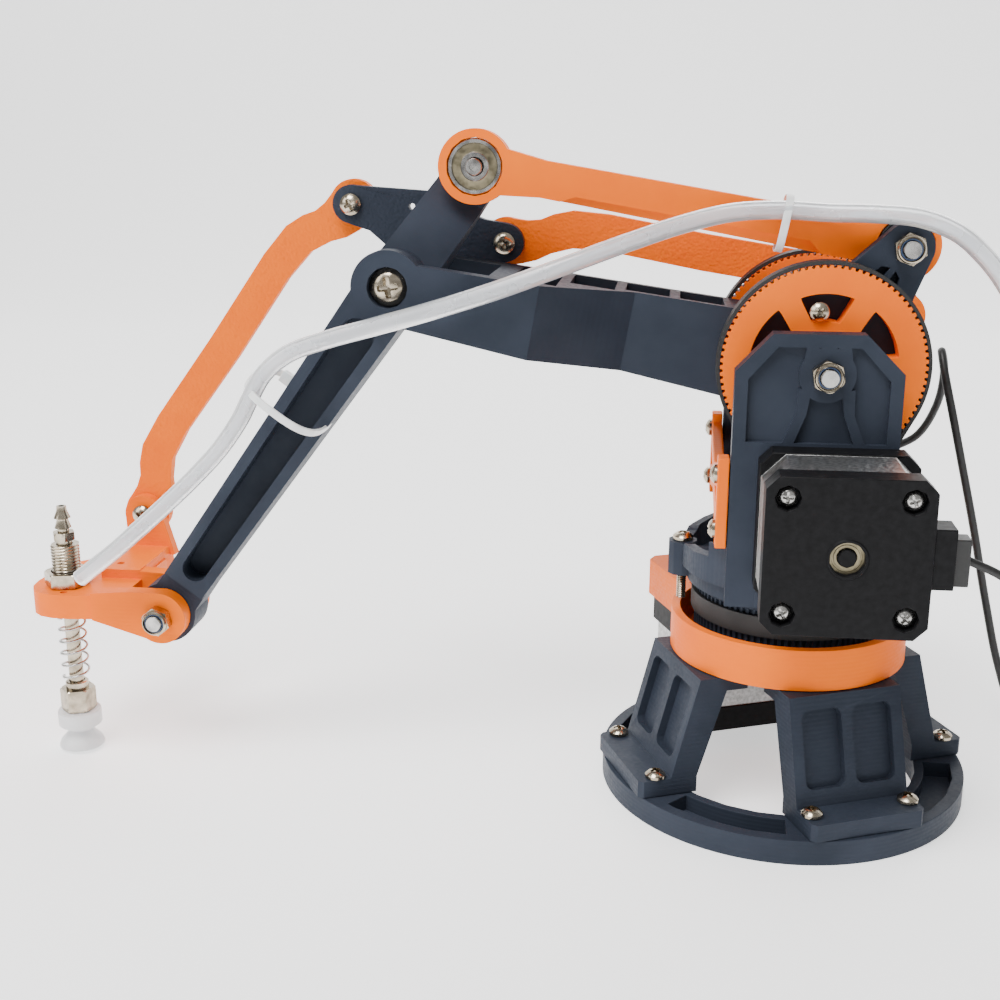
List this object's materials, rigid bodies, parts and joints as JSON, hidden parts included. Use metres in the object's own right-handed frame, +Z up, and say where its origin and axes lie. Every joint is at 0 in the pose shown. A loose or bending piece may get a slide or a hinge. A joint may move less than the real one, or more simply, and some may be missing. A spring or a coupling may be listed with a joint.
{
  "type": "desktop robot arm",
  "caption": "Belt-driven desktop robot arm with parallel linkages on a ring base, carrying a sprung suction tool that stays level.",
  "frame": {"origin": "middle of the footprint box at desk level", "axes": "+Z up, the arm reaches along -X, the elbow motor faces -Y"},
  "size_m": [0.3922, 0.1356, 0.1967],
  "materials": {
    "orange": "3-D printed PLA",
    "slate": "3-D printed PLA",
    "motor": "black end covers, steel laminations",
    "belt": "matt",
    "steel": "bright",
    "nickel": "nickel plated",
    "silicone": "clear silicone"
  },
  "bodies": {
    "base": {"base_ring": "slate", "leg_left": "slate", "leg_front": "slate", "leg_right": "slate", "leg_left_screw_1": "nickel", "leg_left_screw_2": "nickel", "leg_front_screw_1": "nickel", "leg_front_screw_2": "nickel", "leg_right_screw_1": "nickel", "leg_right_screw_2": "nickel", "base_housing": "orange", "base_motor": "motor", "base_belt": "belt", "hose_tail": "silicone", "hose_coil": "silicone"},
    "base_pinion": {"base_motor_pulley": "steel"},
    "turntable": {"turntable_pulley": "slate", "turntable_frame": "slate", "far_side_plate": "slate", "front_brace": "orange", "stop_screw": "nickel", "elbow_motor": "motor", "shoulder_motor": "motor", "elbow_belt": "belt", "shoulder_belt": "belt", "shoulder_axle_bolt": "steel", "shoulder_nut": "steel"},
    "elbow_pinion": {"elbow_motor_pulley": "steel"},
    "shoulder_pinion": {"shoulder_motor_pulley": "steel"},
    "crank_unit": {"elbow_pulley": "orange", "crank": "slate", "crank_bolt": "steel", "crank_nut": "steel"},
    "lower_arm_unit": {"lower_arm": "slate", "shoulder_pulley": "orange", "elbow_bolt": "nickel"},
    "rear_bearing_unit": {"rear_link_bearing_b": "steel"},
    "rear_link_unit": {"rear_link": "orange", "hose_span": "silicone"},
    "front_bearing_unit": {"rear_link_bearing_a": "steel"},
    "forearm_unit": {"forearm": "slate", "forearm_link_bolt": "steel", "wrist_bearing": "steel", "wrist_bolt": "steel", "wrist_nut": "steel", "hose_tip": "silicone"},
    "levelling_unit": {"levelling_plate": "slate", "levelling_screw_front": "nickel", "levelling_screw_rear": "nickel"},
    "rear_levelling_unit": {"rear_levelling_link": "orange"},
    "front_levelling_unit": {"front_levelling_link": "orange"},
    "holder_unit": {"tool_holder": "orange", "holder_screw": "nickel", "suction_bush": "nickel", "suction_bush_nut": "nickel"},
    "plunger_unit": {"suction_rod": "nickel", "suction_coupler": "nickel", "suction_body": "silicone", "suction_cup": "silicone", "suction_spring": "steel"}
  },
  "joints": [
    {"name": "base_yaw", "type": "hinge", "parent": "base", "child": "turntable", "pos_m": [0.0905, -0.005, 0.0654], "axis": [0, 0, 1], "range_deg": [-24, 96]},
    {"name": "base_pinion_spin", "type": "hinge", "parent": "base", "child": "base_pinion", "pos_m": [0.07598, 0.02903, 0.06], "axis": [0, 0, 1], "range_deg": [-108, 432]},
    {"name": "shoulder", "type": "hinge", "parent": "turntable", "child": "lower_arm_unit", "pos_m": [0.0945, 0.003, 0.1325], "axis": [0, 1, 0], "range_deg": [0, 44]},
    {"name": "elbow", "type": "hinge", "parent": "turntable", "child": "crank_unit", "pos_m": [0.0945, -0.018, 0.1325], "axis": [0, 1, 0], "range_deg": [0, 20]},
    {"name": "shoulder_pinion_spin", "type": "hinge", "parent": "turntable", "child": "shoulder_pinion", "pos_m": [0.0984, 0.018, 0.0916], "axis": [0, 1, 0], "range_deg": [0, 198]},
    {"name": "elbow_pinion_spin", "type": "hinge", "parent": "turntable", "child": "elbow_pinion", "pos_m": [0.0984, -0.018, 0.0916], "axis": [0, 1, 0], "range_deg": [0, 90]},
    {"name": "rear_bearing_turn", "type": "hinge", "parent": "crank_unit", "child": "rear_bearing_unit", "pos_m": [0.1163, -0.006, 0.1649], "axis": [0, 1, 0], "range_deg": [-20, 0]},
    {"name": "rear_link_turn", "type": "hinge", "parent": "rear_bearing_unit", "child": "rear_link_unit", "pos_m": [0.1163, -0.006, 0.1649], "axis": [0, 1, 0], "range_deg": [0, 44]},
    {"name": "front_bearing_turn", "type": "hinge", "parent": "rear_link_unit", "child": "front_bearing_unit", "pos_m": [-0.0051, -0.006, 0.1861], "axis": [0, 1, 0], "range_deg": [-44, 0]},
    {"name": "forearm_turn", "type": "hinge", "parent": "front_bearing_unit", "child": "forearm_unit", "pos_m": [-0.0051, -0.002, 0.1861], "axis": [0, 1, 0], "range_deg": [0, 20]},
    {"name": "levelling_plate_turn", "type": "hinge", "parent": "lower_arm_unit", "child": "levelling_unit", "pos_m": [-0.0269, 0.021, 0.1537], "axis": [0, 1, 0], "range_deg": [-44, 0]},
    {"name": "rear_levelling_turn", "type": "hinge", "parent": "turntable", "child": "rear_levelling_unit", "pos_m": [0.1215, 0.025, 0.1413], "axis": [0, 1, 0], "range_deg": [0, 44]},
    {"name": "front_levelling_turn", "type": "hinge", "parent": "levelling_unit", "child": "front_levelling_unit", "pos_m": [-0.0482, 0.025, 0.1739], "axis": [0, 1, 0], "range_deg": [0, 20]},
    {"name": "wrist_turn", "type": "hinge", "parent": "forearm_unit", "child": "holder_unit", "pos_m": [-0.1022, -0.013, 0.0502], "axis": [0, 1, 0], "range_deg": [-20, 0]},
    {"name": "suction_plunge", "type": "slide", "parent": "holder_unit", "child": "plunger_unit", "axis": [0, 0, 1], "range_m": [0, 0.008], "stiffness_N_per_m": 150, "springref_m": -0.004, "deforming": ["suction_spring"]}
  ],
  "couplings": [
    {"joint": "base_pinion_spin", "follows": "base_yaw", "ratio": 4.5},
    {"joint": "shoulder_pinion_spin", "follows": "shoulder", "ratio": 4.5},
    {"joint": "elbow_pinion_spin", "follows": "elbow", "ratio": 4.5},
    {"joint": "rear_bearing_turn", "follows": "elbow", "ratio": -1},
    {"joint": "rear_link_turn", "follows": "shoulder", "ratio": 1},
    {"joint": "front_bearing_turn", "follows": "shoulder", "ratio": -1},
    {"joint": "forearm_turn", "follows": "elbow", "ratio": 1},
    {"joint": "levelling_plate_turn", "follows": "shoulder", "ratio": -1},
    {"joint": "rear_levelling_turn", "follows": "shoulder", "ratio": 1},
    {"joint": "front_levelling_turn", "follows": "elbow", "ratio": 1},
    {"joint": "wrist_turn", "follows": "elbow", "ratio": -1}
  ]
}
